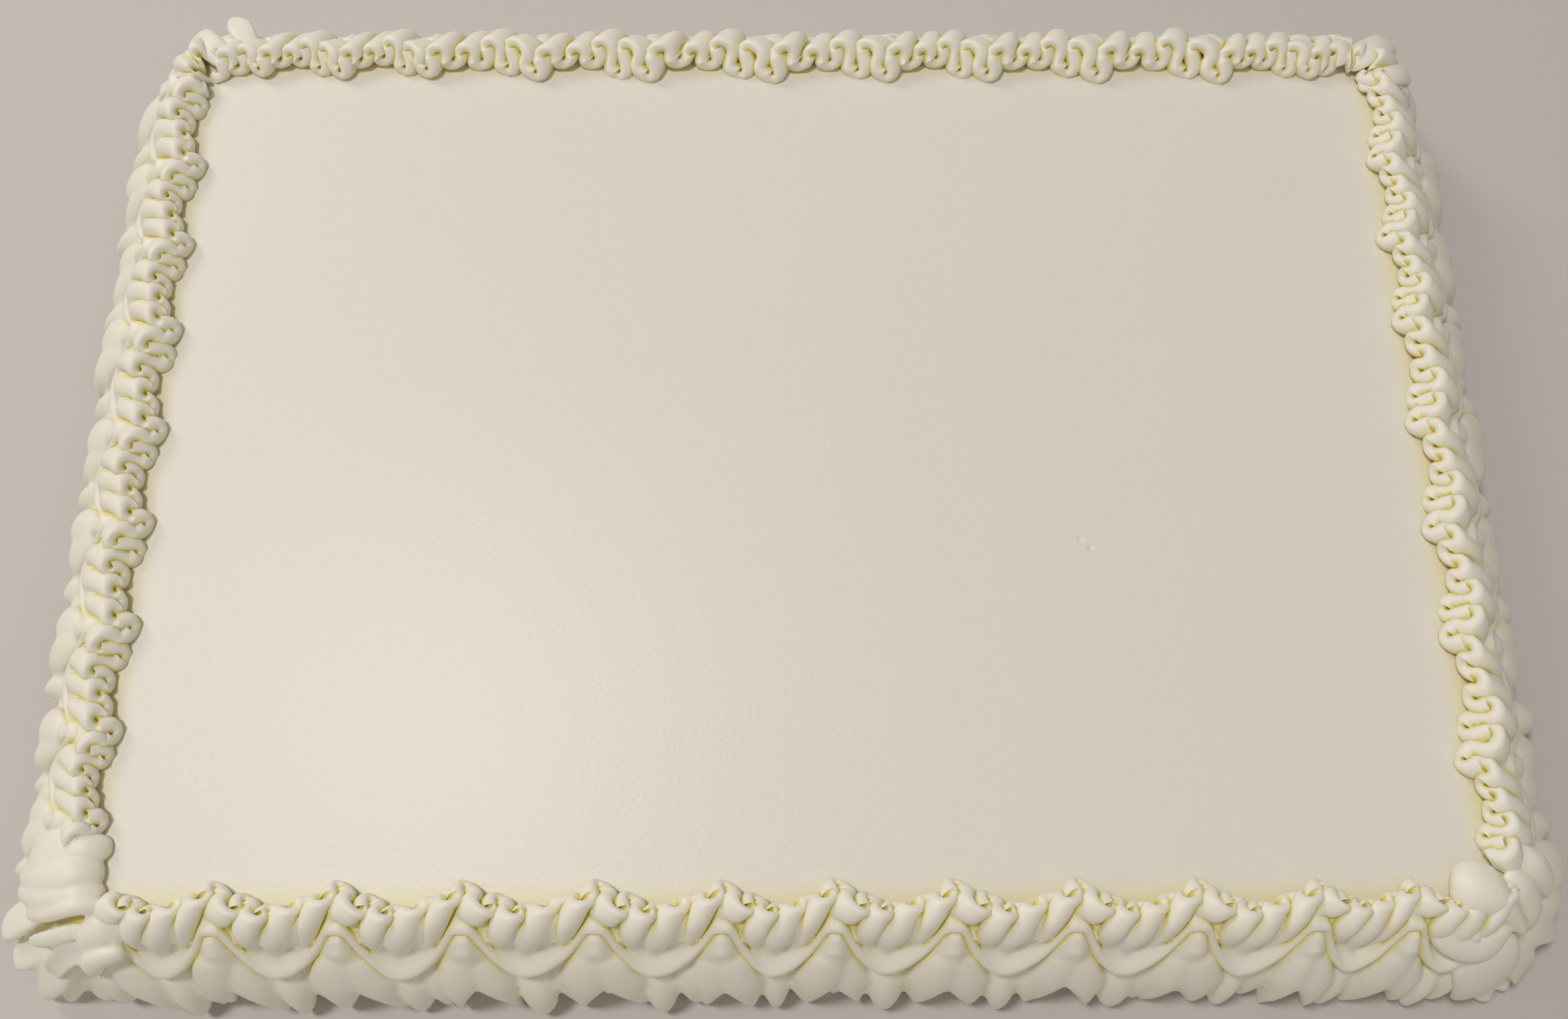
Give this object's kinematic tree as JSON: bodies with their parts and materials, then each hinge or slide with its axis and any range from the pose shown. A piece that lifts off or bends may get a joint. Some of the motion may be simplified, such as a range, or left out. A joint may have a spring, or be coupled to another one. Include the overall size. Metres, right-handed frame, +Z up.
{
  "type": "sheet cake",
  "caption": "A rectangular single-layer cake iced smooth in white whipped icing, with a ruffled swag piped over its top edge and a row of piped petals round its foot.",
  "frame": {"origin": "centre of the flat underside, at the middle of the overall box", "axes": "+X along the long sides to the right as seen from the front, +Y from the front long side to the back one, +Z up; the front is the side nearest the camera in the picture"},
  "size_m": [0.4666, 0.3346, 0.0546],
  "materials": {
    "smooth_icing": "whipped icing spread flat, satin, warm white",
    "piped_icing": "piped whipped icing, satin, ivory white with yellower creases"
  },
  "bodies": {
    "root": {"iced_cake": "smooth_icing", "top_ruffle_front": "piped_icing", "top_ruffle_front_right": "piped_icing", "top_ruffle_right": "piped_icing", "top_ruffle_back_right": "piped_icing", "top_ruffle_back": "piped_icing", "top_ruffle_back_left": "piped_icing", "top_ruffle_left": "piped_icing", "top_ruffle_front_left": "piped_icing", "foot_petals_front": "piped_icing", "foot_petals_front_right": "piped_icing", "foot_petals_right": "piped_icing", "foot_petals_back_right": "piped_icing", "foot_petals_back": "piped_icing", "foot_petals_back_left": "piped_icing", "foot_petals_left": "piped_icing", "foot_petals_front_left": "piped_icing"}
  },
  "joints": []
}
